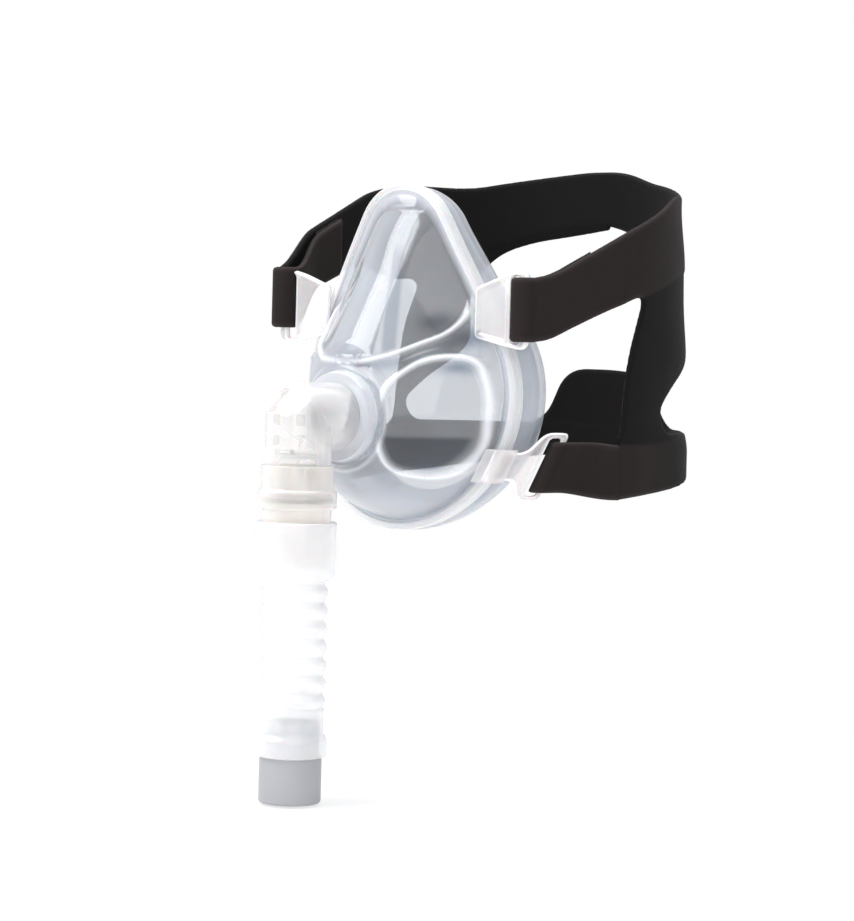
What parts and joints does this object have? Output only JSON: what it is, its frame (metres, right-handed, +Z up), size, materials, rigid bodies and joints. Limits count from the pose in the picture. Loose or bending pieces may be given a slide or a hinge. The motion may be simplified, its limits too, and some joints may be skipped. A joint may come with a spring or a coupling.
{
  "type": "full-face breathing mask",
  "caption": "Full-face positive airway pressure mask: clear domed shell with cushion, swivel elbow, short corrugated tube and soft headgear.",
  "frame": {"origin": "middle of the cushion's sealing plane, at the height of the port's axis", "axes": "+Y towards the wearer's face and the back of the head, -Y the front, +X the wearer's left, +Z up"},
  "size_m": [0.1354, 0.1941, 0.231],
  "materials": {
    "clear_shell": "clear polished",
    "clear_ring": "clear polished",
    "clear_elbow": "clear polished",
    "silicone": "satin, translucent",
    "grey_plastic": "satin",
    "swivel": "satin",
    "seal": "matte",
    "tube": "satin, translucent",
    "headgear": "soft knit",
    "hook_tab": "hook tape"
  },
  "bodies": {
    "mask": {"shell": "clear_shell", "cushion": "silicone", "cushion_clip": "clear_ring", "back_panel": "headgear", "upper_strap_left": "headgear", "upper_strap_right": "headgear", "upper_tab_left": "hook_tab", "upper_tab_right": "hook_tab", "lower_strap_left": "headgear", "lower_strap_right": "headgear"},
    "elbow": {"elbow_body": "clear_elbow", "elbow_ring": "clear_ring", "valve_seat": "grey_plastic"},
    "flap": {"valve_flap": "silicone"},
    "caps": {"port_caps": "silicone"},
    "tube": {"swivel_collar": "swivel", "swivel_seal": "seal", "flex_tube": "tube", "tube_connector": "grey_plastic"},
    "clip_left": {"lower_clip_left": "clear_ring", "lower_tab_left": "headgear"},
    "clip_right": {"lower_clip_right": "clear_ring", "lower_tab_right": "headgear"}
  },
  "joints": [
    {"name": "elbow_swivel", "type": "hinge", "parent": "mask", "child": "elbow", "pos_m": [0, -0.055, 0], "axis": [0, -1, 0], "continuous": true},
    {"name": "tube_swivel", "type": "hinge", "parent": "elbow", "child": "tube", "pos_m": [0, -0.08, -0.02], "axis": [0, 0, 1], "continuous": true},
    {"name": "valve_lift", "type": "hinge", "parent": "elbow", "child": "flap", "pos_m": [0, -0.0878, -0.01245], "axis": [1, 0, 0], "range_deg": [0, 60]},
    {"name": "caps_pull", "type": "slide", "parent": "elbow", "child": "caps", "axis": [0, -0.7071, 0.7071], "range_m": [0, 0.012]},
    {"name": "lower_clip_left", "type": "hinge", "parent": "mask", "child": "clip_left", "pos_m": [0.0465, -0.0262, -0.016], "axis": [0.232, 0.3532, 0.9063], "range_deg": [-8, 8], "deforming": ["lower_strap_left"]},
    {"name": "lower_clip_right", "type": "hinge", "parent": "mask", "child": "clip_right", "pos_m": [-0.0465, -0.0262, -0.016], "axis": [-0.232, 0.3532, 0.9063], "range_deg": [-8, 8], "deforming": ["lower_strap_right"]}
  ]
}
